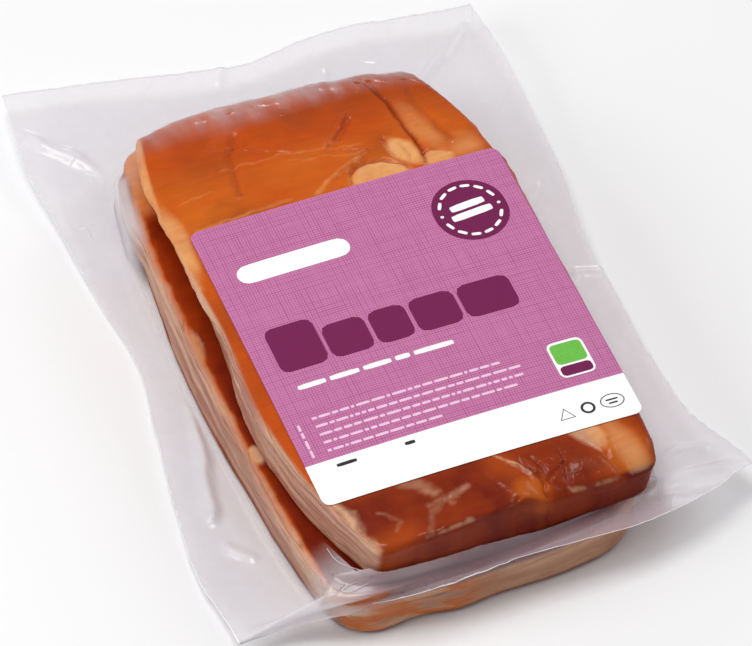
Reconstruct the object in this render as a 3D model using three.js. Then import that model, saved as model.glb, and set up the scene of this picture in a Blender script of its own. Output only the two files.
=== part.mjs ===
// A sealed pack of smoked bacon: two slabs lie stacked in one clear pouch, and a printed label
// is stuck on top. The pouch is one solid out to its film, with the slabs inside it.
// Units are millimetres: x runs across the pack, y from its front end to its back, z up.
import * as THREE from "three";

// Stack of slabs
const slabHeight = 23;
const stackTop = 2 * slabHeight;

// Edge curves. Each list holds the places of one edge at even steps from one corner to the next:
// left and right hold x from front to back, front and back hold y from left to right.
const upperEdges = {
  left: [-52, -62, -67, -65.5, -66.5, -66, -61],
  right: [59, 60.5, 62, 62, 62, 57.5, 48],
  front: [-95.5, -94, -91.5, -90.5, -88.5],
  back: [130, 133.8, 133.3, 131.5, 126],
};
const lowerEdges = {
  left: [-68, -71.5, -72.5, -71.5, -66],
  right: [58, 63, 64, 64, 54],
  front: [-92, -95, -94.5, -92, -85.5],
  back: [134, 136, 137, 136, 130],
};
const rimEdges = {
  left: [-98, -101, -97.5, -92, -87, -90, -92, -94.5, -91],
  right: [97.5, 86, 84, 84.5, 85, 89.5, 91, 92, 90.5],
  front: [-85, -81.5, -93.5, -98, -97.3, -97.8, -98, -92, -82],
  back: [191, 187, 181, 175, 172, 176, 177, 172, 169],
};
// Height of the rim above the table, along the same four edges
const rimHeights = {
  left: [6, 3.5, 3, 3, 3, 3, 4, 7, 10],
  right: [16, 15, 14, 13, 13, 13, 13, 14, 14],
  front: [6, 11, 17, 21.5, 23, 23, 22.5, 20, 16],
  back: [10, 10, 11, 12, 12, 12, 12, 13, 14],
};
// Height at which the sealed rim leaves the slabs, on each side
const seamHeights = { left: 3.5, right: 12, front: 21, back: 10 };
// Height at which the film leaves the upper slab's wall, on each side
const leaveHeights = { left: 24, right: 24, front: 30, back: 24 };
// Nearness to the front, from 0 to 1, over which the film comes to span the hollow before the slabs
const spanStart = 0.9;
const spanEnd = 0.98;
// Place of the point where the film leaves the wall, among the points of its way down
const leaveRow = 4;

// Corners: a high power makes a square corner, a low one a round corner
const upperPower = 22;
const lowerPower = 12;
const sidePower = 6;

const upperSlab = { edges: upperEdges, power: upperPower };
const lowerSlab = { edges: lowerEdges, power: lowerPower };

// Round edges of the slabs under the film
const topRadii = { left: 3, right: 3.5, front: 3, back: 14 };
const ledgeRadius = 3;
const baseRadius = 1.5;
const filletShare = 0.4;
const halfWidth = 60;
const halfLength = 111;

// Top surface: a shallow crown that falls away at the back
const crownDrop = 1;
const backDrop = 2.5;

// Sealed film rim
const filmThickness = 0.8;
const rimSteps = 3;

// Label
const labelWidth = 120;
const labelLength = 137.6;
const labelThickness = 0.5;
const labelGap = 0.3;
const labelRadius = 4;
const labelCells = [12, 14];

// Mesh steps across and along the pack
const stepsAcross = 16;
const stepsAlong = 28;

const mix = THREE.MathUtils.lerp;
const clamp = THREE.MathUtils.clamp;

// Value of an edge list at s, from -1 at its first place to 1 at its last, on a smooth curve
function edgeAt(places, s) {
  const curve = new THREE.SplineCurve(places.map((value, i) => new THREE.Vector2(i, value)));
  return curve.getPoint(clamp((s + 1) / 2, 0, 1)).y;
}

// Point of the plan at a, b from -1 to 1, inside four curved edges
function within(edges, a, b) {
  const x = mix(edgeAt(edges.left, b), edgeAt(edges.right, b), (a + 1) / 2);
  const y = mix(edgeAt(edges.front, a), edgeAt(edges.back, a), (b + 1) / 2);
  return new THREE.Vector2(x, y);
}

// Pulls a point of the square in towards a square with round corners
function roundedSquare(a, b, power) {
  const reach = Math.max(Math.abs(a), Math.abs(b));
  if (reach === 0) return [0, 0];
  const pull = reach / (Math.abs(a) ** power + Math.abs(b) ** power) ** (1 / power);
  return [a * pull, b * pull];
}

// Plan of a slab at a, b, moved in from its edges by one inset across and one along
function slabPoint(slab, a, b, insetAcross = 0, insetAlong = insetAcross) {
  const [ra, rb] = roundedSquare(a, b, slab.power);
  return within(slab.edges, ra * (1 - insetAcross / halfWidth), rb * (1 - insetAlong / halfLength));
}

// Height of the stack's top over a point of the plan
function topLevel(x, y) {
  const across = (x / halfWidth) ** 2;
  const along = clamp(y / halfLength, 0, 1) ** 3;
  return stackTop - crownDrop * across - backDrop * along;
}

// Mean of one value a side, which changes over smoothly round each corner
function blendSides(sides, a, b) {
  const weights = {
    left: Math.max(0, -a) ** sidePower,
    right: Math.max(0, a) ** sidePower,
    front: Math.max(0, -b) ** sidePower,
    back: Math.max(0, b) ** sidePower,
  };
  let sum = 0;
  let total = 0;
  for (const side in weights) {
    sum += weights[side] * sides[side];
    total += weights[side];
  }
  return sum / total;
}

const lift = (plan, z) => new THREE.Vector3(plan.x, plan.y, z);

// Plan of the upper slab's top at a, b, with a share of its edge radii left to go
function topPoint(a, b, share) {
  const across = mix(topRadii.left, topRadii.right, (a + 1) / 2);
  const along = mix(topRadii.front, topRadii.back, (b + 1) / 2);
  return slabPoint(upperSlab, a, b, across * share, along * share);
}

// Point on the rim's middle, with the height of the edge that it lies on
function rimPoint(a, b) {
  const heights = {
    left: edgeAt(rimHeights.left, b),
    right: edgeAt(rimHeights.right, b),
    front: edgeAt(rimHeights.front, a),
    back: edgeAt(rimHeights.back, a),
  };
  return lift(within(rimEdges, a, b), blendSides(heights, a, b));
}

// Raises the points past the wall to a straight line down to the rim where they are at the front
function spanFront(points, a, b) {
  const share = THREE.MathUtils.smoothstep(-b, spanStart, spanEnd);
  const rim = rimPoint(a, b);
  const leave = points[leaveRow];
  for (const point of points.slice(leaveRow + 1)) {
    const way = clamp((leave.y - point.y) / (leave.y - rim.y), 0, 1);
    const straight = mix(leave.z, rim.z, way);
    point.z = mix(point.z, Math.max(point.z, straight), share);
  }
  return points;
}

// The film's way from the top of the stack, over both slabs and out to the rim, at one place
function upperProfile(a, b) {
  const points = [];
  const radius = blendSides(topRadii, a, b);
  for (const angle of [0, 30, 60, 90]) {
    const turn = THREE.MathUtils.degToRad(angle);
    const plan = topPoint(a, b, 1 - Math.sin(turn));
    points.push(lift(plan, topLevel(plan.x, plan.y) - radius * (1 - Math.cos(turn))));
  }
  const seam = blendSides(seamHeights, a, b);
  const fillet = Math.min(ledgeRadius, filletShare * (slabHeight - seam));
  points.push(lift(slabPoint(upperSlab, a, b, -0.5), blendSides(leaveHeights, a, b)));
  points.push(lift(slabPoint(lowerSlab, a, b, fillet), slabHeight));
  points.push(lift(slabPoint(lowerSlab, a, b, 0.3 * fillet), slabHeight - 0.3 * fillet));
  points.push(lift(slabPoint(lowerSlab, a, b), slabHeight - fillet));
  points.push(lift(slabPoint(lowerSlab, a, b, -0.3), seam + fillet + filmThickness / 2));
  points.push(lift(slabPoint(lowerSlab, a, b, -0.3 - fillet), seam + filmThickness / 2));
  return spanFront(points, a, b);
}

// The film's way from the underside of the stack up to where the rim leaves it, at one place
function lowerProfile(a, b) {
  const seam = blendSides(seamHeights, a, b);
  const fillet = Math.min(ledgeRadius, filletShare * (slabHeight - seam));
  const start = seam - filmThickness / 2;
  return [
    lift(slabPoint(lowerSlab, a, b, -0.3 - fillet), start),
    lift(slabPoint(lowerSlab, a, b, -0.3), mix(baseRadius, start, 0.6)),
    lift(slabPoint(lowerSlab, a, b), baseRadius),
    lift(slabPoint(lowerSlab, a, b, baseRadius), 0),
  ];
}

// One closed profile, top to underside, with the rim between its two halves
function wholeProfile(a, b) {
  const upper = upperProfile(a, b);
  const lower = lowerProfile(a, b);
  const rim = rimPoint(a, b);
  const up = new THREE.Vector3(0, 0, filmThickness / 2);
  const out = [];
  const back = [];
  for (let step = 1; step <= rimSteps; step++) {
    out.push(upper.at(-1).clone().lerp(rim.clone().add(up), step / rimSteps));
    back.unshift(lower[0].clone().lerp(rim.clone().sub(up), step / rimSteps));
  }
  return [...upper, ...out, ...back, ...lower];
}

// Places round the square, anticlockwise from its front left corner
function squareLoop(across, along) {
  const loop = [];
  for (let i = 0; i < across; i++) loop.push([-1 + (2 * i) / across, -1]);
  for (let j = 0; j < along; j++) loop.push([1, -1 + (2 * j) / along]);
  for (let i = 0; i < across; i++) loop.push([1 - (2 * i) / across, 1]);
  for (let j = 0; j < along; j++) loop.push([-1, 1 - (2 * j) / along]);
  return loop;
}

// Builds a closed solid from a profile round the square and two caps that fill its first and last row
function closedSolid(across, along, profileAt, topAt, underAt) {
  const positions = [];
  const faces = [];
  const add = (point) => {
    positions.push(point.x, point.y, point.z);
    return positions.length / 3 - 1;
  };
  const loop = squareLoop(across, along);
  const columns = loop.map(([a, b]) => profileAt(a, b).map(add));
  for (let k = 0; k < columns.length; k++) {
    const here = columns[k];
    const next = columns[(k + 1) % columns.length];
    for (let row = 0; row + 1 < here.length; row++) {
      faces.push(here[row], here[row + 1], next[row + 1], here[row], next[row + 1], next[row]);
    }
  }
  const addCap = (row, pointAt, upwards) => {
    const edge = new Map(loop.map(([a, b], k) => [`${a.toFixed(6)},${b.toFixed(6)}`, columns[k].at(row)]));
    const grid = [];
    for (let j = 0; j <= along; j++) {
      const line = [];
      for (let i = 0; i <= across; i++) {
        const a = -1 + (2 * i) / across;
        const b = -1 + (2 * j) / along;
        line.push(edge.get(`${a.toFixed(6)},${b.toFixed(6)}`) ?? add(pointAt(a, b)));
      }
      grid.push(line);
    }
    for (let j = 0; j < along; j++) {
      for (let i = 0; i < across; i++) {
        const [p, q, r, s] = [grid[j][i], grid[j][i + 1], grid[j + 1][i + 1], grid[j + 1][i]];
        if (upwards) faces.push(p, q, r, p, r, s);
        else faces.push(p, r, q, p, s, r);
      }
    }
  };
  addCap(0, topAt, true);
  addCap(-1, underAt, false);
  const geometry = new THREE.BufferGeometry();
  geometry.setAttribute("position", new THREE.Float32BufferAttribute(positions, 3));
  geometry.setIndex(faces);
  geometry.computeVertexNormals();
  return geometry;
}

// The pouch: film, slabs and sealed rim as one solid
function makePouch() {
  const topAt = (a, b) => {
    const plan = topPoint(a, b, 1);
    return lift(plan, topLevel(plan.x, plan.y));
  };
  const underAt = (a, b) => lift(slabPoint(lowerSlab, a, b, baseRadius), 0);
  const mesh = new THREE.Mesh(
    closedSolid(stepsAcross, stepsAlong, wholeProfile, topAt, underAt),
    new THREE.MeshStandardMaterial({ color: 0xb5552a, roughness: 0.25, metalness: 0 }),
  );
  mesh.name = "pouch";
  return mesh;
}

// The label: a thin sheet with round corners that follows the top of the pouch
function makeLabel() {
  const [across, along] = labelCells;
  const base = (x, y) => topLevel(x, y) + labelGap;
  const planAt = (a, b) => {
    const x = (a * labelWidth) / 2;
    const y = (b * labelLength) / 2;
    const overX = Math.max(0, Math.abs(x) - (labelWidth / 2 - labelRadius));
    const overY = Math.max(0, Math.abs(y) - (labelLength / 2 - labelRadius));
    const over = Math.hypot(overX, overY);
    const pull = over > labelRadius ? labelRadius / over - 1 : 0;
    return new THREE.Vector2(x + Math.sign(x) * overX * pull, y + Math.sign(y) * overY * pull);
  };
  const topAt = (a, b) => {
    const plan = planAt(a, b);
    return lift(plan, base(plan.x, plan.y) + labelThickness);
  };
  const underAt = (a, b) => {
    const plan = planAt(a, b);
    return lift(plan, base(plan.x, plan.y));
  };
  const mesh = new THREE.Mesh(
    closedSolid(across, along, (a, b) => [topAt(a, b), underAt(a, b)], topAt, underAt),
    new THREE.MeshStandardMaterial({ color: 0xc96da8, roughness: 0.5, metalness: 0 }),
  );
  mesh.name = "label";
  return mesh;
}

// The pack stands on the middle of its own footprint
const pack = new THREE.Group();
const contents = new THREE.Group();
contents.add(makePouch(), makeLabel());
const bounds = new THREE.Box3().setFromObject(contents, true);
const centre = bounds.getCenter(new THREE.Vector3());
contents.position.set(-centre.x, -centre.y, -bounds.min.z);
pack.add(contents);

export default pack;
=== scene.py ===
"""A clear vacuum pack of smoked bacon: two slabs, a film pouch with a wide sealed rim, and a printed label.

Shapes are worked out in millimetres round the middle of the label, with x across the pack, y towards
its far end and z up from the table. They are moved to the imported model's place when a mesh is made.
"""

import math

import bpy
import numpy as np
from bpy.props import FloatProperty, FloatVectorProperty, PointerProperty
from mathutils import Matrix, Vector


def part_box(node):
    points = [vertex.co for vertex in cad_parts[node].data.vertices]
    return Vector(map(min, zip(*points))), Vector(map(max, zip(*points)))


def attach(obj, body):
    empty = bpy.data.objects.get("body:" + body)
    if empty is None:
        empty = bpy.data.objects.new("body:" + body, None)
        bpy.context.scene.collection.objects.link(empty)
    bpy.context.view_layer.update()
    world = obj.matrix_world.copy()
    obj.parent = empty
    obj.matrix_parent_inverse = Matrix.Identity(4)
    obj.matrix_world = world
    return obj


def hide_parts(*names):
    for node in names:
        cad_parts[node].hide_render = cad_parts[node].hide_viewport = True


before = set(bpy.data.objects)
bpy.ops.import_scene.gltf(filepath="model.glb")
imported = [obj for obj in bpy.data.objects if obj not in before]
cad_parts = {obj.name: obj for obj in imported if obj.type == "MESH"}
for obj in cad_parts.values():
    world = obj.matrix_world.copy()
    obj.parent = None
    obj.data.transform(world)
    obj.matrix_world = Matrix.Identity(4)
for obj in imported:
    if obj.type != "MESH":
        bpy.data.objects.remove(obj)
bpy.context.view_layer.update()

bl_info = {
    "name": "Smoked bacon pack",
    "version": (1, 0, 0),
    "blender": (4, 5, 0),
    "location": "View3D > Sidebar > Bacon Pack",
    "description": "Builds two smoked bacon slabs in a clear vacuum pouch with a printed label",
    "category": "Add Mesh",
}

LABEL_LOW, LABEL_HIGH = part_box("label")
LABEL_MIDDLE = [
    (LABEL_LOW[0] + LABEL_HIGH[0]) / 2,
    (LABEL_LOW[1] + LABEL_HIGH[1]) / 2,
    0.0,
]
MM = 1000.0

# Edge curves in mm, at even steps. Left and right hold x from front to back, front and back hold y
# from left to right.
UPPER_TOP = {
    "left": [-52, -62, -67, -65.5, -66.5, -66, -61],
    "right": [58.5, 60, 61.5, 61.5, 61.5, 57, 47.5],
    "front": [-95, -93.5, -91, -90.5, -89.5],
    "back": [129.5, 133.3, 132.8, 131, 125.5],
}
UPPER_FOOT = {
    "left": [-51.5, -62, -66, -63.5, -59.5, -58, -52],
    "right": [57, 59, 60, 60, 60, 55, 45],
    "front": [-89.5, -92, -90.5, -88.5, -87.5],
    "back": [128, 131.3, 130.8, 129, 122],
}
LOWER_TOP = {
    "left": [-67.5, -71, -72, -71, -66],
    "right": [57, 62, 63, 63, 53],
    "front": [-91.5, -94, -93.5, -91, -84.5],
    "back": [138.5, 136, 136, 135, 129],
}
LOWER_FOOT = {
    "left": [-65, -70, -73, -70.5, -64.5],
    "right": [55, 61, 62, 62, 52],
    "front": [-91, -94, -92.6, -94.6, -93.4, -93.4, -92.4, -89.6, -83],
    "back": [137, 135, 135, 134, 128],
}
FILM_FOOT = {
    "left": [-52, -62.5, -66.5, -64.2, -63, -62, -56],
    "right": [60, 62.5, 64, 64, 64, 59.5, 49.5],
    "front": [-92.8, -93.4, -91.2, -89.3, -88.5],
    "back": [130, 133.3, 133, 131.5, 125],
}
RIM = {
    "left": [-98, -101, -97.5, -92, -87, -90, -92, -94.5, -91],
    "right": [97.5, 86, 84, 84.5, 85, 89.5, 91, 92, 90.5],
    "front": [-85, -81.5, -93.5, -98, -97.3, -97.8, -98, -92, -82],
    "back": [191, 187, 181, 175, 172, 176, 177, 172, 169],
}
RIM_HEIGHT = {
    "left": [6, 3.5, 3, 3, 3, 3, 4, 7, 10],
    "right": [16, 15, 14, 13, 13, 13, 13, 14, 14],
    "front": [6, 11, 17, 21.5, 23, 23, 22.5, 20, 16],
    "back": [10, 10, 11, 12, 12, 12, 12, 13, 14],
}

# Heights at which the rim leaves the lower slab, and radii of the upper slab's top edges
SEAM_HEIGHT = {"left": 3.5, "right": 12, "front": 21, "back": 10}
TOP_RADIUS = {"left": 3, "right": 3.5, "front": 3, "back": 14}

# Heights of the stack's top, of the plane between the slabs, of the lower slab's underside and of the
# film's, and half the space between the slabs
SLAB_TOP = 46.0
SLAB_SPLIT = 23.0
SLAB_LIFT = 0.4
FILM_FLOOR = 0.1
HALF_SPACE = 0.2

# Powers of the outlines: the greater, the squarer the corners. The last is for values blended round them.
UPPER_POWER = 22
LOWER_POWER = 12
SIDE_POWER = 6

# Half the label's width and length, and half the stack's length
HALF_WIDTH = 60.0
LABEL_HALF_LENGTH = 68.8
HALF_LENGTH = 111.0

# How far the top falls at its sides and at its back
CROWN_DROP = 1.0
BACK_DROP = 2.5

# Radii of the ledge's edge, of the film's lower edge and of the slabs' lower edges, and the greatest
# share of the height over the seam that the ledge's radius may take
LEDGE_RADIUS = 3.0
LEDGE_SHARE = 0.4
BASE_RADIUS = 1.5
SLAB_EDGE = 2.0

# Cells across and along a slab's top, and of the film's. The upper slab's are finer in the two parts
# that the label leaves bare: shares of the cells, and the places that they reach.
UPPER_CELLS = (164, 214)
UPPER_SHARES = [0, 0.24, 0.48, 1]
UPPER_REACH = [-1, -0.76, 0.42, 1]
LOWER_CELLS = (120, 210)
FILM_CELLS = (120, 190)

# Rows of cells across the flange and down a slab's side, and the size of the noise's table
FLANGE_STEPS = 22
SIDE_STEPS = 22
NOISE_SIZE = 64

# Kinds of the film's rows: tight over the upper slab, over the ledge, of the flange, and underneath
TIGHT = 0
OVER_LEDGE = 1
FLANGE = 2
UNDERNEATH = 3

# Width of the painted highlight line along the flange's cut edge, and depth of its teeth
EDGE_WIDTH = 0.42
EDGE_TOOTH = 0.35

# How far above the plane between the slabs the film reaches the upper slab's foot, how much higher it
# leaves the front wall, and how much more at the front left
FOOT_LIFT = 1.2
FRONT_LIFT = 1.4
FRONT_RISE = 5.4

# How far the upper slab's top sinks towards its front edge on the right
FRONT_DROP = 4.0

# How far the lower slab swells outward at the far left, and how far the film over it does
SLAB_BULGE = 2.7
FILM_BULGE = 3.4

# Middle and half length of the lower slab along y
LOWER_MIDDLE = 23.0
LOWER_HALF_LENGTH = 115.0

# Grooves in the upper slab's top: depth, half width, and the places each runs through. A ridge has a
# depth below zero.
CREASES = [
    (1.1, 1.7, [(-27, 110), (-28, 108), (-32, 101), (-33, 95), (-34, 88), (-35, 81)]),
    (1.9, 1.0, [(25, 122), (29, 114), (31, 106), (32, 100), (33, 91), (34, 84.5), (34.3, 78.5), (33, 71)]),
    (-0.7, 1.2, [(23, 122), (27, 113), (29, 105), (30, 98)]),
    (0.9, 2.4, [(42.5, 112), (42.5, 100), (43, 92), (44.5, 85), (47, 80)]),
    (1.5, 0.9, [
        (3.5, 66), (3.8, 71), (5.1, 74.8), (8.2, 77.6), (13, 79), (19.5, 77.2), (24.2, 74), (27, 68),
    ]),
    (1.1, 0.8, [(22.8, 88), (23.5, 82.4), (24.7, 77.9), (26.3, 72)]),
    (0.9, 0.7, [(28, 83), (29.5, 78), (28.5, 73)]),
    (0.8, 0.8, [(34.5, 77), (39, 76.5), (43, 73.5)]),
    (-1.3, 1.3, [(13.3, 103.7), (8.4, 99), (4.3, 94.6), (1.9, 92.4)]),
    (0.9, 1.1, [(15, 102), (10.5, 97.5), (6.5, 93)]),
    (-1.0, 1.2, [(-8.8, 71), (-2, 75), (4.6, 79), (10.6, 82), (14.8, 84)]),
    (0.4, 0.7, [(-39, 108), (-10, 95), (16, 86)]),
    (1.6, 0.8, [
        (11.6, -68), (10.5, -74.5), (11.9, -78.4), (14.5, -83), (15.3, -85), (13.6, -88), (16.3, -95),
    ]),
    (1.1, 0.7, [(14.5, -74), (16.5, -80), (17.5, -85), (20.2, -88), (22, -92), (24.2, -98)]),
    (1.0, 0.8, [(24.7, -72), (25, -79), (23.4, -87), (23.6, -92), (21.3, -94)]),
    (0.8, 0.8, [(24.9, -79.5), (22.5, -81.6), (20.6, -83), (17, -85)]),
    (1.3, 1.0, [(4, -90), (0.8, -94.6), (-2.2, -99)]),
    (0.7, 0.9, [(34, -74), (39.3, -81.4), (42.7, -87.6), (44.5, -92), (44.7, -97)]),
    (0.5, 0.9, [(42.7, -68), (42.1, -74.7), (40.6, -82)]),
    (0.6, 1.3, [(-4.4, -69.6), (-1.4, -80.5), (2.8, -91)]),
    (0.8, 1.6, [(-18, -81), (-27, -87), (-31, -100)]),
    (-0.8, 1.1, [(2.4, -68.9), (7.1, -73.5), (12.4, -81), (13.3, -87)]),
    (-0.6, 1.2, [(-32, -92.5), (-20, -92), (-8, -92), (1.5, -91)]),
    (-0.9, 2.2, [(24.5, -88.5), (31, -89.5), (41, -90)]),
    (-1.0, 3.5, [(30, -84), (35, -84), (38, -87)]),
]

# Pale veins in the upper slab's top, and painted highlights along its front edge and a faint painted
# sheen on its right front block: strength, half width, and the places each runs through
PALE_VEINS_AND_GLINTS = [
    (0.3, 2.1, [(-31, -69), (-27, -71), (-24, -74), (-22.6, -76.5)]),
    (0.35, 1.3, [(-10, -78.6), (-13, -78.5), (-16.9, -79.3), (-19.5, -81), (-18, -83)]),
    (0.26, 1.4, [(-26, -82), (-20, -80.5), (-16, -80.4)]),
    (0.26, 1.3, [(-31, -94), (-28.2, -89), (-26, -84.6), (-20, -81)]),
    (0.22, 1.0, [(-44, -78.5), (-39.4, -82.6), (-37.4, -84.5), (-40.3, -87.6)]),
    (0.7, 1.8, [(-57, -68), (-53.5, -75), (-54, -80), (-52.5, -85), (-50, -93)]),
    (0.7, 0.5, [(2.4, -68.9), (7.1, -73.5), (10.2, -77.5), (12.4, -81.5)]),
    (0.6, 0.6, [(42.3, -74.2), (47.5, -77), (52, -79)]),
    (0.55, 0.6, [(49.8, -78.5), (46.3, -86), (46.8, -92), (44, -98)]),
    (0.4, 0.8, [(43, -70), (43.5, -80), (46.3, -86)]),
    (0.35, 1.0, [(-8.8, 71), (-2, 75), (4.6, 79), (10.6, 82)]),
    (0.7, 2.2, [(-66, 110), (-68, 96), (-68, 74), (-66, 57), (-66, 44)]),
    # Painted highlights along the front edge, then a faint painted sheen on the right front block
    (0.5, 0.45, [(-31.6, -93.2), (-23.9, -93.2), (-15.5, -92.6), (-8.3, -93), (1.5, -92)]),
    (0.5, 0.5, [(23.5, -89.5), (30.3, -90.4), (34.4, -91), (40, -90.5)]),
    (0.07, 3.6, [(28, -83), (35, -85), (40, -87)]),
    (0.25, 1.0, [(-56, 70), (-40, 70), (-20, 71)]),
    (0.22, 0.5, [(-38, 95), (-10, 93.5), (14, 88)]),
    (0.2, 0.5, [(-58, 84), (-44, 85)]),
    (0.22, 0.5, [(-12, 90), (2, 86), (14, 84)]),
]

# Fat in the upper slab's top: middle, radii, turn in degrees and strength of each patch
FAT_PATCHES = [
    (15, 69.3, 10.8, 8.6, 0, 1.0),
    (28, 79, 4.2, 8.4, 32, 0.9),
    (38, 71.6, 6.4, 4.2, -8, 0.85),
    (38, 88, 4.4, 13, 14, 0.42),
    (50, 72, 6, 8, 0, 0.34),
    (-64.5, 66, 3.8, 18, 0, 0.75),
    (37, -70, 4.8, 8.4, 25, 0.95),
    (49, -82, 4.4, 13, 14, 0.5),
]

# Lightly smoked places, in the same form
GOLDEN_PATCHES = [
    (-48, 80, 24, 18, 0, 0.55),
    (-63, 72, 6, 32, 0, 0.5),
    (8, 73, 30, 10, 5, 0.6),
    (40, 85, 16, 18, 0, 0.5),
    (47, -80, 9, 18, 14, 0.9),
    (5, -75, 5.4, 11, 26, 0.42),
    (9, -87, 7, 6, 0, 0.8),
    (-8, 84, 26, 10, 0, 0.6),
    (-52, 74, 14, 8, 0, 0.8),
    (-41, -91, 9, 5, 10, 0.4),
]

# Folds standing up in the flange: height, half width, and the places each runs through
FLANGE_FOLDS = [
    (3.2, 2.4, [(-75, 24), (-78, 5), (-83.6, -13), (-86.4, -27)]),
    (1.2, 2.0, [(-86, -42), (-80, -49)]),
    (1.6, 2.2, [(62, -82), (74, -80), (88, -84)]),
    (1.4, 2.0, [(61, -88), (72, -92), (84, -95)]),
    (1.5, 2.2, [(64, -70), (76, -66), (84, -68)]),
    (1.3, 2.4, [(66, 20), (75, 26), (83, 24)]),
    (1.2, 2.4, [(66, 64), (78, 70)]),
    (1.6, 2.2, [(-58, 130), (-74, 150), (-90, 168)]),
    (1.6, 2.2, [(50, 130), (66, 146), (84, 158)]),
    (1.5, 1.8, [(-14, 166), (-11, 172)]),
    (1.0, 2.2, [(20, 140), (26, 156)]),
]

# Painted highlights: thin white threads where the film is creased, standing in for glints: places in x,
# y and z
FILM_GLINT_LINES = [
    [
        (-31, -88, 24.4), (-43.5, -88, 24.4), (-53.5, -90, 24.3), (-60, -90.3, 24.2), (-61.4, -89.4, 24.2),
        (-60, -88.2, 24.2), (-51.5, -87, 24.3), (-50.6, -85.8, 24.3), (-51.2, -84.6, 24.3),
        (-58.2, -77.2, 24.2), (-59.8, -69.8, 24.1),
    ],
]
GLINT_LINE_RADIUS = 0.13

# Heights of the label and of two layers of ink above the stack's top, and the thickness of each
LABEL_LIFT = 0.3
LABEL_THICKNESS = 0.15
INK_THICKNESS = 0.02
INK = 0.48
UPPER_INK = 0.53

# Cells of the label's grid, the cell size and corner share of printed bars, and cells of small shapes
LABEL_CELLS = (80, 92)
BAR_CELL = 3
BAR_ROUNDING = 0.3
DISC_CELLS = (24, 24)
TILE_CELLS = (8, 8)
DASH_CELLS = (4, 4)

# Middle of the round disc, and of the tile along x, in mm from the label's middle
DISC_X = 39
DISC_Y = 42.2
TILE_X = 45.5

# Dashes round the disc: their count and how far out they lie along x and y
DASHES = 14
DASH_REACH_X = 11
DASH_REACH_Y = 12.2

# Plum blocks: left end, middle along the label, width and length of each
PLUM_BLOCKS = (
    (-52, 3.8, 18, 21.6),
    (-32.5, 0.9, 16, 16),
    (-15, 0.9, 14, 16),
    (0.5, 0.9, 17, 16),
    (19, 0.9, 20, 16),
)

# Rows of small pale bars: where each ends, where they start, the first row's place, the distance from
# row to row, and the space between bars
ROW_ENDS = (22, 30, 29, 23, -7)
ROW_START = -50.0
FIRST_ROW = -30
ROW_STEP = 3.9
BAR_SPACE = 0.65

# Half the floor's side in m, the strength of the light from all around, and the studio lights: name,
# place in m, size in m and power in W
FLOOR_HALF_SIZE = 3.0
WORLD_LIGHT = 0.3
LIGHTS = (
    ("far strip", (0.8, 2.05, 0.9), 0.14, 2.0),
    ("overhead softbox", (-0.3, 0.05, 1.6), 0.7, 13),
    ("left softbox", (-1.4, 0.1, 0.9), 0.8, 9),
    ("right softbox", (1.5, 0.1, 1.2), 0.9, 7),
)

# Camera: a long lens looking down over the front left
CAMERA_FOCUS = 5600.0
IMAGE_WIDTH = 752.0
SENSOR_WIDTH = 36.0
CAMERA_ELEVATION = math.radians(48.41)
CAMERA_AZIMUTH = math.radians(21.35)
CAMERA_RIGHT = -13.2
CAMERA_UP = 29.5
CAMERA_DISTANCE = 2023.8


def srgb(red, green, blue):
    """Linear colour of an sRGB colour given from 0 to 255."""
    values = [channel / 255 for channel in (red, green, blue)]
    return tuple(v / 12.92 if v <= 0.04045 else ((v + 0.055) / 1.055) ** 2.4 for v in values)


def colour_prop(name, description, colour):
    """A colour property with its default in linear values."""
    return FloatVectorProperty(
        name=name, description=description, default=colour, size=3, min=0, max=1, subtype="COLOR"
    )


def length_prop(name, description, millimetres):
    """A length property with its default given in millimetres."""
    return FloatProperty(
        name=name, description=description, default=millimetres / MM, min=0, unit="LENGTH", precision=5
    )


class BaconPackSizes(bpy.types.PropertyGroup):
    """Sizes of the film and label."""

    film_gap: length_prop("Film gap", "Space between a slab and the film over it", 0.22)
    seal_thickness: length_prop("Seal thickness", "Thickness of the two sealed films at the rim", 0.3)
    wrinkle_height: length_prop("Wrinkle height", "Height of the folds in the loose film", 1.5)
    label_width: length_prop("Label width", "Width of the label across the pack", 120)
    label_length: length_prop("Label length", "Length of the label along the pack", 137.6)
    label_radius: length_prop("Label corner radius", "Radius of the label's corners", 3.5)
    strip_length: length_prop("Strip length", "Length of the white strip at the label's front", 19.2)


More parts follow.
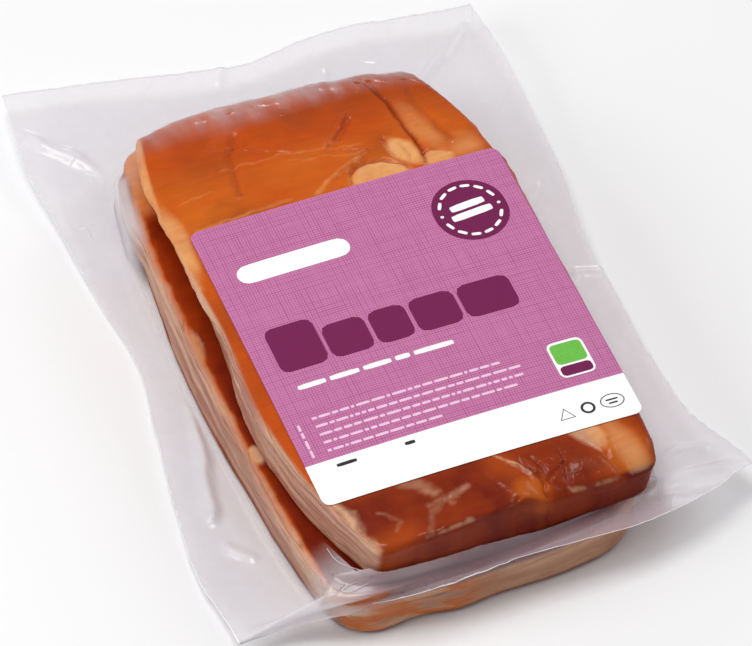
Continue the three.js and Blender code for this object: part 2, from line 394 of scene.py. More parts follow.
class BaconPackColours(bpy.types.PropertyGroup):
    """Colours of the bacon, the film and the label."""

    smoked: colour_prop("Smoked", "Smoked surface of the bacon", srgb(190, 76, 10))
    golden: colour_prop("Golden", "Lightly smoked surface", srgb(208, 106, 26))
    # Also used for painted shade in the grooves, on the lower slab's ledge and under the front film band
    dark: colour_prop("Dark smoke", "Darkest smoked lean meat", srgb(108, 22, 5))
    fat: colour_prop("Fat", "Smoked fat", srgb(226, 160, 98))
    cut: colour_prop("Cut face", "Pale cut side of a slab", srgb(202, 160, 132))
    muscle: colour_prop("Muscle", "Pink lean streaks in a cut side", srgb(164, 108, 94))
    seam: colour_prop("Seam", "Thin brown lines between the layers of a cut side", srgb(132, 84, 58))
    # Painted highlight: white for the film's cut edge and its creased lines
    edge: colour_prop("Film edge", "Bright cut edge of the film", srgb(255, 254, 255))
    film: colour_prop("Film", "Loose milky film", srgb(240, 236, 241))
    # Painted shade: a greyer film colour for the front band
    band: colour_prop("Front band", "Milky film before the slabs' front", srgb(206, 184, 192))
    label: colour_prop("Label", "Ground colour of the label", srgb(203, 124, 170))
    hatch: colour_prop("Hatch", "Crossed fine lines on the label", srgb(158, 72, 124))
    plum: colour_prop("Plum", "Large dark shapes on the label", srgb(113, 8, 75))
    pale: colour_prop("Pale", "Small pale bars on the label", srgb(238, 198, 224))
    paper: colour_prop("White", "White strip and bars on the label", srgb(252, 252, 252))
    green: colour_prop("Green", "Small tile on the label", srgb(108, 190, 72))
    ink: colour_prop("Ink", "Small marks on the white strip", srgb(38, 36, 40))
    floor: colour_prop("Floor", "Pale floor", srgb(246, 246, 247))


def mix(low, high, share):
    """Straight-line mix of two values."""
    return low + (high - low) * share


def smooth_step(value, start, end):
    """Soft step from 0 at start to 1 at end."""
    t = np.clip((value - start) / (end - start), 0, 1)
    return t * t * (3 - 2 * t)


def edge_at(places, s):
    """Smooth curve through evenly spaced values, for s from -1 to 1: each span is the cubic whose end
    slopes are half the distance between the places on either side."""
    v = np.asarray(places, float)
    t = np.clip((s + 1) / 2, 0, 1) * (len(v) - 1)
    i = np.minimum(t.astype(int), len(v) - 2)
    f = t - i
    before, here, there, after = v[np.maximum(i - 1, 0)], v[i], v[i + 1], v[np.minimum(i + 2, len(v) - 1)]
    leave = (there - before) / 2
    arrive = (after - here) / 2
    cubic = 2 * here - 2 * there + leave + arrive
    square = -3 * here + 3 * there - 2 * leave - arrive
    return ((cubic * f + square) * f + leave) * f + here


def within(edges, a, b):
    """Plan at a, b from -1 to 1 between four curved edges: x is mixed from left to right, y from
    front to back."""
    x = mix(edge_at(edges["left"], b), edge_at(edges["right"], b), (a + 1) / 2)
    y = mix(edge_at(edges["front"], a), edge_at(edges["back"], a), (b + 1) / 2)
    return np.stack([x, y], -1)


def rounded_square(a, b, power):
    """Pulls a point of the square in so that its border becomes the curve |a|^p + |b|^p = 1."""
    reach = np.maximum(np.abs(a), np.abs(b))
    size = (np.abs(a) ** power + np.abs(b) ** power) ** (1 / power)
    pull = np.where(reach > 0, reach / np.maximum(size, 1e-12), 0)
    return a * pull, b * pull


def slab_plan(edges, power, a, b, inset_across=0.0, inset_along=None):
    """Plan of a slab's outline at a, b, moved in from its edges by an inset across and along."""
    inset_along = inset_across if inset_along is None else inset_along
    ra, rb = rounded_square(a, b, power)
    return within(edges, ra * (1 - inset_across / HALF_WIDTH), rb * (1 - inset_along / HALF_LENGTH))


def blend_sides(sides, a, b):
    """Mean of one value a side, weighted by the sixth power of how near each side is."""
    weights = {
        "left": np.maximum(0, -a) ** SIDE_POWER,
        "right": np.maximum(0, a) ** SIDE_POWER,
        "front": np.maximum(0, -b) ** SIDE_POWER,
        "back": np.maximum(0, b) ** SIDE_POWER,
    }
    total = np.maximum(sum(weights.values()), 1e-12)
    return sum(weights[side] * sides[side] for side in weights) / total


def top_level(x, y):
    """Height of the stack's top: a shallow crown across that falls away with the cube of y at the
    back."""
    crown = CROWN_DROP * (x / HALF_WIDTH) ** 2
    return SLAB_TOP - crown - BACK_DROP * np.clip(y / HALF_LENGTH, 0, 1) ** 3


def top_plan(a, b, share):
    """Plan of the upper slab's top with a share of its edge radii left to go."""
    across = mix(TOP_RADIUS["left"], TOP_RADIUS["right"], (a + 1) / 2)
    along = mix(TOP_RADIUS["front"], TOP_RADIUS["back"], (b + 1) / 2)
    return slab_plan(UPPER_TOP, UPPER_POWER, a, b, across * share, along * share)


def lifted(plan, z):
    """Points of a plan at height z."""
    return np.concatenate([plan, np.broadcast_to(z, plan.shape[:-1])[..., None]], -1)


def on_top(plan, lift=0.0):
    """Points of a plan at a lift above the stack's top."""
    return lifted(plan, top_level(plan[..., 0], plan[..., 1]) + lift)


def value_noise(x, y, seed):
    """Noise from -1 to 1: seeded random heights on a unit grid, joined by smooth steps."""
    size = NOISE_SIZE
    table = np.random.RandomState(seed).uniform(-1, 1, (size, size))
    xi, yi = np.floor(x).astype(int), np.floor(y).astype(int)
    u, v = smooth_step(x - xi, 0, 1), smooth_step(y - yi, 0, 1)
    low = mix(table[xi % size, yi % size], table[(xi + 1) % size, yi % size], u)
    high = mix(table[xi % size, (yi + 1) % size], table[(xi + 1) % size, (yi + 1) % size], u)
    return mix(low, high, v)


def layered_noise(x, y, seed, layers=4):
    """Sum of value noises, each twice as fine and half as high as the one before."""
    total = 0
    for layer in range(layers):
        scale = 2.0**layer
        total = total + value_noise(x * scale, y * scale, seed + layer) / scale
    return total / 2


def segment_distance(x, y, x0, y0, x1, y1):
    """Distance to a straight piece from x0, y0 to x1, y1."""
    dx, dy = x1 - x0, y1 - y0
    share = np.clip(((x - x0) * dx + (y - y0) * dy) / (dx * dx + dy * dy), 0, 1)
    return np.hypot(x - x0 - share * dx, y - y0 - share * dy)


def trail_distance(x, y, places):
    """Distance to the nearest of the straight pieces of a trail."""
    pieces = [segment_distance(x, y, *here, *there) for here, there in zip(places, places[1:])]
    return np.minimum.reduce(pieces)


def wandering(x, y, amount, reach, seed):
    """A plan point moved about by noise."""
    wx = x + amount * layered_noise(x / reach, y / reach, seed)
    return wx, y + amount * layered_noise(x / reach, y / reach, seed + 6)


def crease_depth(x, y, narrow=1.0):
    """Depth of all grooves at a point: a bell curve across each, over a plan that noise has moved."""
    wx, wy = wandering(x, y, 1.1, 7, 31)
    total = np.zeros_like(x)
    for depth, width, places in CREASES:
        total += depth * np.exp(-((trail_distance(wx, wy, places) / (width * narrow)) ** 2))
    return total


def spanned_depth(x, y):
    """Depth of the grooves as the film follows them: it spans part of each groove and covers ridges."""
    depth = crease_depth(x, y, 1.2)
    return np.where(depth > 0, 0.7 * depth, depth)


def vein_and_glint_mask(x, y):
    """Mask of the pale veins and of the painted highlights, frayed by noise."""
    wx, wy = wandering(x, y, 2.0, 5, 61)
    frayed = 1 + 0.7 * layered_noise(x / 2.5, y / 2.5, 67)
    total = np.zeros_like(x)
    for strength, width, places in PALE_VEINS_AND_GLINTS:
        near = np.exp(-((trail_distance(wx, wy, places) / width) ** 2))
        total = np.maximum(total, strength * near)
    return np.clip(total * frayed, 0, 1)


def patch_mask(x, y, patches, soft):
    """Greatest of the soft masks of several patches. The weaker a patch, the softer its edge."""
    masks = [
        strength * blob(x, y, cx, cy, rx, ry, turn, soft + 0.6 * (1 - strength))
        for cx, cy, rx, ry, turn, strength in patches
    ]
    return np.maximum.reduce(masks)


def blob(x, y, cx, cy, rx, ry, turn=0.0, soft=0.35):
    """Soft mask of an ellipse at cx, cy, turned by degrees, with edges roughened by noise."""
    c, s = math.cos(math.radians(turn)), math.sin(math.radians(turn))
    wx, wy = wandering(x, y, 1.3, 6, 53)
    u = ((wx - cx) * c + (wy - cy) * s) / rx
    v = (-(wx - cx) * s + (wy - cy) * c) / ry
    return 1 - smooth_step(np.hypot(u, v), 1 - soft, 1 + soft)


def label_cover(x, y, margin=2.0, fade=6.0):
    """Mask that is 1 under the label and fades out past its edges."""
    out = np.maximum(np.abs(x) - HALF_WIDTH, np.abs(y) - LABEL_HALF_LENGTH)
    return 1 - smooth_step(out, margin, margin + fade)


def square_params(across, along, shares=(0, 1), reach=(-1, 1)):
    """Parameters over the square as a grid, and round its border anticlockwise from the front left.
    Shares of the cells along it and the places that they reach make some of them finer."""
    steps = np.interp(np.linspace(0, 1, along + 1), shares, reach)
    a, b = np.meshgrid(np.linspace(-1, 1, across + 1), steps)
    grid = np.stack([a, b], -1)
    return grid, border_of(grid)


def border_of(grid):
    """The border of a grid in order: front, right, back and left."""
    return np.concatenate([grid[0, :-1], grid[:-1, -1], grid[-1, :0:-1], grid[:0:-1, 0]])


def closed_surface(cells, rows, top, under):
    """Closes a band of rows round the square with a top patch inside its first row and an underside
    inside its last. Returns points and outward quads."""
    across, along = cells
    count, around = rows.shape[:2]
    ring = np.arange(count * around).reshape(count, around)
    after = np.roll(ring, -1, axis=1)
    quads = [np.stack([ring[:-1], ring[1:], after[1:], after[:-1]], -1).reshape(-1, 4)]
    points = [rows.reshape(-1, 3)]
    start = count * around
    for patch, border, turned in ((top, ring[0], False), (under, ring[-1], True)):
        index = np.empty((along + 1, across + 1), int)
        inner = patch[1:-1, 1:-1]
        index[1:-1, 1:-1] = start + np.arange(inner[..., 0].size).reshape(inner.shape[:2])
        front, right, back, left = np.split(border, np.cumsum([across, along, across]))
        index[0, :-1], index[:-1, -1], index[-1, :0:-1], index[:0:-1, 0] = front, right, back, left
        cell = np.stack([index[:-1, :-1], index[:-1, 1:], index[1:, 1:], index[1:, :-1]], -1).reshape(-1, 4)
        quads.append(cell[:, ::-1] if turned else cell)
        points.append(inner.reshape(-1, 3))
        start += inner[..., 0].size
    return np.concatenate(points), np.concatenate(quads)


def vertex_normals(points, quads):
    """Mean normal at each point, from the cross product of each quad's diagonals."""
    corners = points[quads]
    face = np.cross(corners[:, 2] - corners[:, 0], corners[:, 3] - corners[:, 1])
    total = np.stack(
        [np.bincount(quads.ravel(), np.repeat(face[:, axis], 4), len(points)) for axis in range(3)], -1
    )
    return total / np.maximum(np.linalg.norm(total, axis=1, keepdims=True), 1e-12)


def add_mesh(name, points, quads, material, masks=None, smooth=True):
    """Makes a mesh object of points in mm round the label's middle, with named colour masks."""
    mesh = bpy.data.meshes.new(name)
    mesh.vertices.add(len(points))
    mesh.vertices.foreach_set("co", (points / MM + LABEL_MIDDLE).astype(np.float32).ravel())
    mesh.loops.add(quads.size)
    mesh.loops.foreach_set("vertex_index", quads.astype(np.int32).ravel())
    mesh.polygons.add(len(quads))
    mesh.polygons.foreach_set("loop_start", np.arange(0, quads.size, 4, dtype=np.int32))
    mesh.polygons.foreach_set("use_smooth", np.full(len(quads), smooth))
    mesh.update(calc_edges=True)
    for mask, values in (masks or {}).items():
        colours = np.ones((len(points), 4), np.float32)
        colours[:, :3] = np.clip(values, 0, 1)
        mesh.color_attributes.new(mask, "FLOAT_COLOR", "POINT").data.foreach_set("color", colours.ravel())
    mesh.materials.append(material)
    piece = bpy.data.objects.new(name, mesh)
    bpy.context.scene.collection.objects.link(piece)
    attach(piece, "root")
    return piece


def slab_surface(top_rows, foot_edges, power, bottom, top_patch, grid):
    """A slab: its top rows, a straight side down to the foot, a round lower edge and a flat underside."""
    a, b = border_of(grid).T
    cells = (grid.shape[1] - 1, grid.shape[0] - 1)
    edge = top_rows[-1]
    foot = lifted(slab_plan(foot_edges, power, a, b), bottom + SLAB_EDGE)
    rows = list(top_rows)
    for step in range(1, SIDE_STEPS + 1):
        rows.append(mix(edge, foot, step / SIDE_STEPS))
    for angle in np.radians([30, 60, 90]):
        plan = slab_plan(foot_edges, power, a, b, SLAB_EDGE * (1 - np.cos(angle)))
        rows.append(lifted(plan, bottom + SLAB_EDGE * (1 - np.sin(angle))))
    under = lifted(slab_plan(foot_edges, power, grid[..., 0], grid[..., 1], SLAB_EDGE), bottom)
    return closed_surface(cells, np.stack(rows), top_patch, under)


def upper_top_rows(a, b, gap, angles):
    """Rows over the upper slab's rounded top edge, at a gap above it."""
    radius = blend_sides(TOP_RADIUS, a, b)
    rows = []
    for angle in np.radians(angles):
        plan = top_plan(a, b, 1 - math.sin(angle))
        plan = plan + (top_plan(a, b, -0.2) - top_plan(a, b, 0)) * gap * math.sin(angle)
        rows.append(on_top(plan, gap * math.cos(angle) - radius * (1 - math.cos(angle))))
    return rows


def ledge_fillet(a, b):
    """Radius of the lower slab's top edge, smaller where the seam is high."""
    return np.minimum(LEDGE_RADIUS, LEDGE_SHARE * (SLAB_SPLIT - blend_sides(SEAM_HEIGHT, a, b)))


def upper_relief(points, normals, grooves):
    """How far the upper slab's surface stands out: broad lumps and creases on the top, and lengthwise
    layers with an uneven outline on its sides."""
    x, y, z = points.T
    topness = smooth_step(normals[:, 2], 0.3, 0.8)
    sideness = 1 - smooth_step(np.abs(normals[:, 2]), 0.3, 0.7)
    lumps = 0.7 * layered_noise(x / 24, y / 24, 11) + 0.3 * layered_noise(x / 7, y / 7, 17, 3)
    layers = 0.8 * layered_noise((x + y) / 26, z / 4.2, 23, 4)
    outline = (1.3 + 0.9 * smooth_step(y, 40, 60)) * layered_noise((x - y) / 15, (x + y) / 15, 29, 3)
    lumps = lumps + 2.2 * layered_noise(x / 10, y / 24, 19, 2) * smooth_step(y, 104, 124)
    top = (lumps - grooves(x, y)) * (1 - label_cover(x, y))
    forward = smooth_step(-y, 80, 88)
    front_dents = -0.25 * grooves(x, np.full_like(y, -90.0)) * forward
    foot = smooth_step(z, SLAB_SPLIT, SLAB_SPLIT + 3)
    side = layers * (1 - 0.7 * forward) + outline * foot * (1 - 0.5 * forward) + front_dents
    return top * topness + side * sideness


def sunk(points):
    """Lowers the upper slab's top towards its front edge on the right, and its wall with it."""
    x, y, z = points.T
    drop = FRONT_DROP * smooth_step(-y, 79, 92) * smooth_step(x, 5, 14)
    return np.stack([x, y, z - drop * smooth_step(z, 28, 43)], -1)


def in_from_left(x, y):
    """How far places lie inside the lower slab's left edge."""
    return x - edge_at(LOWER_TOP["left"], (y - LOWER_MIDDLE) / LOWER_HALF_LENGTH)


def left_swelling(points):
    """Mask of the place at the far left where the lower slab and the film over it swell outward."""
    x, y, _ = points.T
    along = smooth_step(y, 84, 102) * (1 - smooth_step(y, 122, 133))
    return along * (1 - smooth_step(in_from_left(x, y), 0.8, 2.4))


def below_ledge(z):
    """Mask that is 1 on the lower slab's walls and fades out over its top edge."""
    return 1 - smooth_step(z, 20.5, 23.5)


def lower_relief(points, normals):
    """How far the lower slab's surface stands out: lengthwise layers and a few soft bulges."""
    x, y, z = points.T
    sideness = 1 - smooth_step(np.abs(normals[:, 2]), 0.3, 0.7)
    layers = 0.9 * layered_noise((x + y) / 22, z / 4.0, 41, 4)
    ledge = 0.5 * layered_noise(x / 10, y / 10, 43, 4)
    swelling = SLAB_BULGE * left_swelling(points) * smooth_step(z, 3, 10) * below_ledge(z)
    return (layers + swelling) * sideness + ledge * smooth_step(normals[:, 2], 0.3, 0.8)


def upper_zones(points, normals):
    """Zones of the upper slab as three colours. In the first red is fat with painted highlights along the
    front edge, green is dark smoke with painted shade in the grooves, and blue is the pale cut side. In
    the second red is the lightly smoked surface, green is where the tight film is crinkled and blue is
    how glossy it is."""
    x, y, z = points.T
    noise = layered_noise(x / 6, y / 6, 71)
    broad = layered_noise(x / 21, y / 21, 77)
    topness = smooth_step(normals[:, 2], 0.25, 0.65)
    left = smooth_step(-normals[:, 0], 0.35, 0.75)

    # Fat, painted highlights along the front edge, and light smoke on the top
    fat = np.clip(patch_mask(x, y, FAT_PATCHES, 0.3) * (1 + 0.3 * noise), 0, 1)
    fat = np.maximum(fat, vein_and_glint_mask(x, y)) * topness
    golden = np.clip(patch_mask(x, y, GOLDEN_PATCHES, 0.45) + 0.25 * broad, 0, 1)

    # Dark smoke before the label, at the far edge and on the front wall, and painted shade in the grooves,
    # where the fat is dimmed too
    lean = smooth_step(x, 8, 16) * (1 - smooth_step(x + 0.55 * (y + 80), 36, 40))
    dark = smooth_step(-y, 58, 72) * (0.86 - 0.12 * lean + 0.3 * broad) * (1 - 0.9 * golden)
    dark = np.maximum(dark, 0.08 + 0.4 * broad + 0.2 * smooth_step(y, 88, 122))
    # Painted shade: the grooves are darkened, and the fat in them dimmed
    groove = smooth_step(crease_depth(x, y, 0.8), 0.3, 1.8) * (1 - label_cover(x, y, 0, 2))
    dark = np.maximum(dark, groove * 0.55)
    orange = 0.35 * np.exp(-(((x - 13) / 9) ** 2)) * smooth_step(z, 32, 40)
    wall = smooth_step(-normals[:, 1], 0.4, 0.8) * (1 - 0.35 * smooth_step(-x, 36, 47))
    dark = np.maximum(dark, wall * (0.8 - orange + 0.3 * noise))
    fat = fat * (1 - 0.7 * groove)

    # Left wall: a pale cut face that turns to smoked fat at its far end
    smoked = smooth_step(y + 14 * layered_noise(y / 12, z / 3, 79), 36, 70)
    cut = left * smooth_step(z, 23.5, 26) * (1 - smooth_step(z, 43.5, 46)) * (1 - smoked)
    fat = np.maximum(fat, 0.7 * left * smoked * smooth_step(z + 3 * noise, 30, 38))
    crinkle = smooth_step(np.abs(crease_depth(x, y, 2.2)), 0.15, 1.2) + smooth_step(broad, 0.1, 0.4)
    crinkle = crinkle * (1 - label_cover(x, y, 0, 2))
    gloss = topness + 0.6 * cut + 0.1
    first = np.stack([fat, dark * (1 - 0.9 * cut), cut], -1)
    return first, np.stack([golden * (1 - 0.6 * dark), crinkle, gloss], -1)


def lower_zones(points, normals):
    """Zones of the lower slab, as for the upper one: the ledge is smoked, with painted shade where the
    upper slab would shade it, its sides are pale cuts with a dark brown line along the foot, and the upper
    part of its front carries painted shade under the film band."""
    x, y, z = points.T
    noise = layered_noise(x / 6, y / 6, 73)
    topness = smooth_step(normals[:, 2], 0.45, 0.8)
    sideness = 1 - topness
    left = smooth_step(-normals[:, 0], 0.35, 0.75) * smooth_step(y, -80, -60)
    front = smooth_step(-normals[:, 1], 0.35, 0.75)
    foot = 1 - smooth_step(z + 0.7 * noise, mix(1.2, 4.2, left), mix(3.0, 5.2, left))
    # Painted shade on the upper part of the front, under the film band and the upper slab's front
    behind = smooth_step(-y, 84, 88) * smooth_step(z, 13, 17) * smooth_step(x, -50, -38)

    # Ledge: a pale lip along its edge, painted shade of the upper slab inward from there, and fat in a few
    # places
    inside = in_from_left(x, y) + noise
    inner = smooth_step(inside, 2.4, 3.8) * (1 - smooth_step(y, 96, 108))
    lip = topness * (1 - smooth_step(inside, 1.6, 3.0)) * smooth_step(y, -84, -70)
    fat = (1 - inner) * 0.15
    for patch in (
        blob(x, y, -67, -20, 3, 4),
        0.5 * blob(x, y, -69, 36, 2.0, 8),
        0.5 * smooth_step(y + 3 * noise, 98, 108),
    ):
        fat = np.maximum(fat, patch)
    fat = fat * topness
    orange = smooth_step(layered_noise(x / 9, y / 16, 75), 0.0, 0.35)
    shade = mix(0.76, 0.64, smooth_step(y, 10, 50)) - 0.1 * orange * (1 - smooth_step(x, -66, -62))
    shade = shade + 0.16 * smooth_step(x, -69, -65)
    folds = smooth_step(layered_noise(x / 9, y / 2.2 + x / 9, 53), 0.08, 0.3) * smooth_step(-x, 60, 66)
    folds = 0.5 * folds * topness * smooth_step(y, 78, 88)

    # Front: streaky and smoked at the left, a plain pale cut at the right
    right = front * smooth_step(x, -22, 0) * (1 - foot)
    streak = layered_noise(x / 30, z / 2.6, 47)
    pale = smooth_step(layered_noise(x / 15, z / 2.4 + x / 13, 49), -0.05, 0.4)
    pale = pale * (1 - smooth_step(x, -22, -6))
    cut = sideness * (1 - foot) * (1 - behind)
    cut = cut * mix(1, np.clip(0.88 + 1.0 * streak + 0.4 * pale, 0, 1), front)
    cut = cut * mix(1, mix(0.3, mix(1, 0.45, right), np.maximum(pale, smooth_step(x, -24, 2))), front)
    cut = np.maximum(cut, 0.85 * lip)
    dark = np.maximum(topness * inner * shade, foot * 0.75)
    dark = np.maximum(dark, np.maximum(front * 0.1 * (1 - pale), 0.85 * right) + behind)
    dark = np.maximum(dark, folds)
    fat = np.maximum(fat, front * np.maximum(pale * 0.7, (0.9 + 0.4 * streak) * right)) * (1 - behind)

    golden = (0.4 * topness * (1 - inner) + foot + 0.9 * front) * (1 - behind)
    gloss = 0.5 - 0.3 * topness * inner - 0.3 * behind
    return np.stack([fat, dark, cut], -1), np.stack([golden, 0.3 * sideness, gloss], -1)


def film_rows(gap, seal, wrinkle):
    """The film's rows from the top of the stack to the underside, with each row's kind and how strong a
    painted highlight line it carries."""
    _, border = square_params(*FILM_CELLS)
    a, b = border[:, 0], border[:, 1]
    rows, kinds, edge = [], [], []

    def add(points, kind, glint_strength=0.0):
        """Adds a row."""
        rows.append(points)
        kinds.append(np.full(a.shape, kind))
        edge.append(np.broadcast_to(glint_strength, a.shape))

    # Over the top edge, and the foot of the upper slab's side and the rim that the next rows go to
    for points in upper_top_rows(a, b, gap, [0, 18, 36, 54, 72, 90]):
        add(points, TIGHT)
    brow = rows[-1]
    front = smooth_step(-b, 0.94, 0.99)
    foot_plan = slab_plan(FILM_FOOT, UPPER_POWER, a, b)
    rise = front * (FRONT_LIFT + FRONT_RISE * (1 - smooth_step(foot_plan[:, 0], -22, 18)))
    foot = lifted(foot_plan, SLAB_SPLIT + FOOT_LIFT + rise)
    heights = {
        name: edge_at(places, b if name in ("left", "right") else a) for name, places in RIM_HEIGHT.items()
    }
    rim = lifted(within(RIM, a, b), blend_sides(heights, a, b))
    span = np.linalg.norm(rim[:, :2] - foot_plan, axis=1)

    def spanned(points):
        """Lifts points at the front to the straight line from the wall to the rim."""
        way = np.clip(np.linalg.norm(points[:, :2] - foot_plan, axis=1) / span, 0, 1)
        straight = mix(foot[:, 2], rim[:, 2], way)
        points[:, 2] = mix(points[:, 2], np.maximum(points[:, 2], straight), front)
        return points

    # Down the upper slab's side, over the ledge and down to the seam
    for share in (*np.linspace(0.125, 0.875, 7), 0.985):
        add(mix(brow, foot, share), TIGHT)
    # A faint painted highlight line where the film leaves the front wall
    add(foot, TIGHT, 0.3 * front)
    seam = blend_sides(SEAM_HEIGHT, a, b)
    fillet = ledge_fillet(a, b)
    shelf = lifted(slab_plan(LOWER_TOP, LOWER_POWER, a, b, fillet), SLAB_SPLIT + gap)
    for share in (0.06, 0.3, 0.6, 1.0):
        point = mix(foot, shelf, share)
        drop = min(1, share * 3) * (1 - front) + share * front
        point[:, 2] = mix(foot[:, 2], shelf[:, 2], drop)
        add(spanned(point), OVER_LEDGE)
    for angle in np.radians([22, 45, 68, 90]):
        inset = fillet * (1 - math.sin(angle)) - gap * math.sin(angle)
        z = SLAB_SPLIT - fillet * (1 - math.cos(angle)) + gap * math.cos(angle)
        add(spanned(lifted(slab_plan(LOWER_TOP, LOWER_POWER, a, b, inset), z)), OVER_LEDGE)
    side = rows[-1]
    for share in (0.5, 0.9):
        plan = slab_plan(LOWER_TOP, LOWER_POWER, a, b, -gap - fillet * max(0, share - 0.6))
        add(spanned(lifted(plan, mix(side[:, 2], seam + seal, share))), OVER_LEDGE)

    # Flange: out along its upper face and back along its lower one, with a toothed edge that carries a
    # painted highlight line
    seam_plan = slab_plan(LOWER_TOP, LOWER_POWER, a, b, -gap - fillet)
    start, below = lifted(seam_plan, seam + seal), lifted(seam_plan, seam - seal)
    outward = rim[:, :2] - start[:, :2]
    length = np.linalg.norm(outward, axis=1)[:, None]
    teeth = EDGE_TOOTH * (1 + 0.8 * front)
    teeth = teeth * value_noise(np.arange(len(a)) / 1.7, np.zeros(len(a)), 33)
    rim[:, :2] -= outward / length * teeth[:, None]
    glint_strength = 0.6 + 0.3 * front
    shares = [np.full_like(length, share) for share in np.linspace(0, 0.94, FLANGE_STEPS)]
    width = EDGE_WIDTH / length
    shares += [1 - 1.4 * width, 1 - width, np.ones_like(length)]
    for base, offset, order in ((start, seal / 2, shares), (below, -seal / 2, shares[::-1])):
        for share in order:
            point = mix(base, rim + [0, 0, offset], share)
            if offset > 0:
                point = spanned(point)
            point[:, 2] += wrinkle * flange_wave(point, share[:, 0]) * (1 - 0.8 * front)
            add(point, FLANGE, glint_strength * np.all(share >= 1 - width))

    # Down the lower slab's side and round its lower edge
    for share in (0.35, 0.75):
        top = slab_plan(LOWER_TOP, LOWER_POWER, a, b, -gap)
        plan = mix(top, slab_plan(LOWER_FOOT, LOWER_POWER, a, b, -gap), share)
        add(lifted(plan, mix(seam - seal, BASE_RADIUS, share)), UNDERNEATH)
    for angle in np.radians([0, 45, 90]):
        inset = BASE_RADIUS * (1 - np.cos(angle)) - gap
        plan = slab_plan(LOWER_FOOT, LOWER_POWER, a, b, inset)
        add(lifted(plan, FILM_FLOOR + BASE_RADIUS * (1 - np.sin(angle))), UNDERNEATH)
    return np.stack(rows), np.stack(kinds), np.stack(edge)


def film_haze(points, kind):
    """How milky the film looks at each point: clear where it is drawn tight, cloudy on the flange, over the
    front ledge and round the lower slab's front left corner, and milky at the far edge as a painted
    reflection of light glancing off the film there. Also where it is the greyer band before the front,
    whose colour is painted shade."""
    x, y, z = points.T
    cloud = layered_noise(x / 14, y / 14, 97)
    patchy = 1 + 0.8 * layered_noise(x / 3.4, y / 13, 99, 3)
    # Painted reflection: the tight film turns milky along the far edge, where light would glance off it
    far = smooth_step(y + 3 * cloud, 110, 127) * mix(0.25, 1, smooth_step(z, 30, 41))
    tight = 0.03 + (0.37 - 0.15 * smooth_step(-x, 15, 45)) * far * patchy
    tight = np.maximum(tight, 0.08 * smooth_step(x, 59, 62))
    ledge = 0.03 + 0.55 * smooth_step(-y + 0.4 * x + 5 * cloud, 42, 60) + 0.3 * smooth_step(x, 50, 58)
    bulge = left_swelling(points)
    ledge = np.maximum(ledge, 0.74 * bulge)
    ledge = np.maximum(ledge, 0.2 * smooth_step(y + 3 * cloud, 112, 124))
    ahead = smooth_step(x, -62, -50)
    ledge = mix(ledge, 0.58 + 0.2 * (1 - smooth_step(x, -45, -15)), smooth_step(-y, 81, 85) * ahead)
    front = smooth_step(-y, 81, 85) * ahead * (1 - smooth_step(x, 56, 64))
    flange = 0.6 - 0.06 * front + 0.07 * cloud
    milky = np.clip(np.choose(kind, [tight, ledge, flange, 0.03 + 0.65 * bulge]), 0, 1)
    return milky, front * np.isin(kind, [OVER_LEDGE, FLANGE])


def flange_wave(point, share):
    """Height of the loose film's folds, in wrinkle heights: soft waves, fine unevenness and a few
    standing folds, all dying away at the slab."""
    x, y = point[:, 0], point[:, 1]
    soft = layered_noise(x / 34, y / 34, 83, 3)
    fine = layered_noise(x / 7, y / 7, 89, 3)
    wx, wy = wandering(x, y, 2.5, 12, 91)
    folds = sum(
        height * np.exp(-((trail_distance(wx, wy, places) / width) ** 2))
        for height, width, places in FLANGE_FOLDS
    )
    return smooth_step(share, 0, 0.3) * (1.1 * soft + 0.12 * fine + folds / 1.5)


def tube(places, radius, steps=10):
    """A thin closed thread through places: a diamond carried along smooth curves, with a flat end at
    each end."""
    places = np.asarray(places, float)
    s = np.linspace(-1, 1, steps * (len(places) - 1) + 1)
    path = np.stack([edge_at(places[:, axis], s) for axis in range(3)], -1)
    along = np.gradient(path, axis=0)
    along = along / np.linalg.norm(along, axis=1, keepdims=True)
    side = np.cross(along, [0.0, 0.0, 1.0])
    side = side / np.linalg.norm(side, axis=1, keepdims=True)
    over = np.cross(side, along)
    side, over = radius * side, radius * over
    corners = np.stack([path + side, path + over, path - side, path - over])
    count = len(path)
    index = np.arange(4 * count).reshape(4, count)
    after = np.roll(index, -1, axis=0)
    skin = np.stack([index[:, :-1], index[:, 1:], after[:, 1:], after[:, :-1]], -1).reshape(-1, 4)
    ends = np.stack([index[:, 0], index[::-1, -1]])
    return corners.reshape(-1, 3), np.concatenate([skin, ends])


def node(tree, kind, inputs=None, **settings):
    """Adds a node, sets its properties, and sets or links its inputs by name or number. Colours are
    given as red, green and blue."""
    made = tree.nodes.new(kind)
    for key, value in settings.items():
        setattr(made, key, value)
    for key, value in (inputs or {}).items():
        socket = made.inputs[key]
        if isinstance(value, bpy.types.NodeSocket):
            tree.links.new(value, socket)
        elif socket.type == "RGBA":
            socket.default_value = (*value, 1)
        else:
            socket.default_value = value
    return made


def new_material(name):
    """A new material, its empty node tree, and the place in the object's own frame."""
    material = bpy.data.materials.new(name)
    material.use_nodes = True
    tree = material.node_tree
    tree.nodes.clear()
    return material, tree, node(tree, "ShaderNodeTexCoord").outputs["Object"]


def finished(material, inputs):
    """A material ended with a principled surface."""
    tree = material.node_tree
    shader = node(tree, "ShaderNodeBsdfPrincipled", inputs)
    node(tree, "ShaderNodeOutputMaterial", {0: shader.outputs[0]})
    return material


def math_node(tree, operation, first, second=0.0, third=0.0):
    """Output of a maths node."""
    return node(tree, "ShaderNodeMath", {0: first, 1: second, 2: third}, operation=operation).outputs[0]


def vector_node(tree, operation, *vectors):
    """Output of a vector maths node."""
    return node(tree, "ShaderNodeVectorMath", dict(enumerate(vectors)), operation=operation).outputs[0]


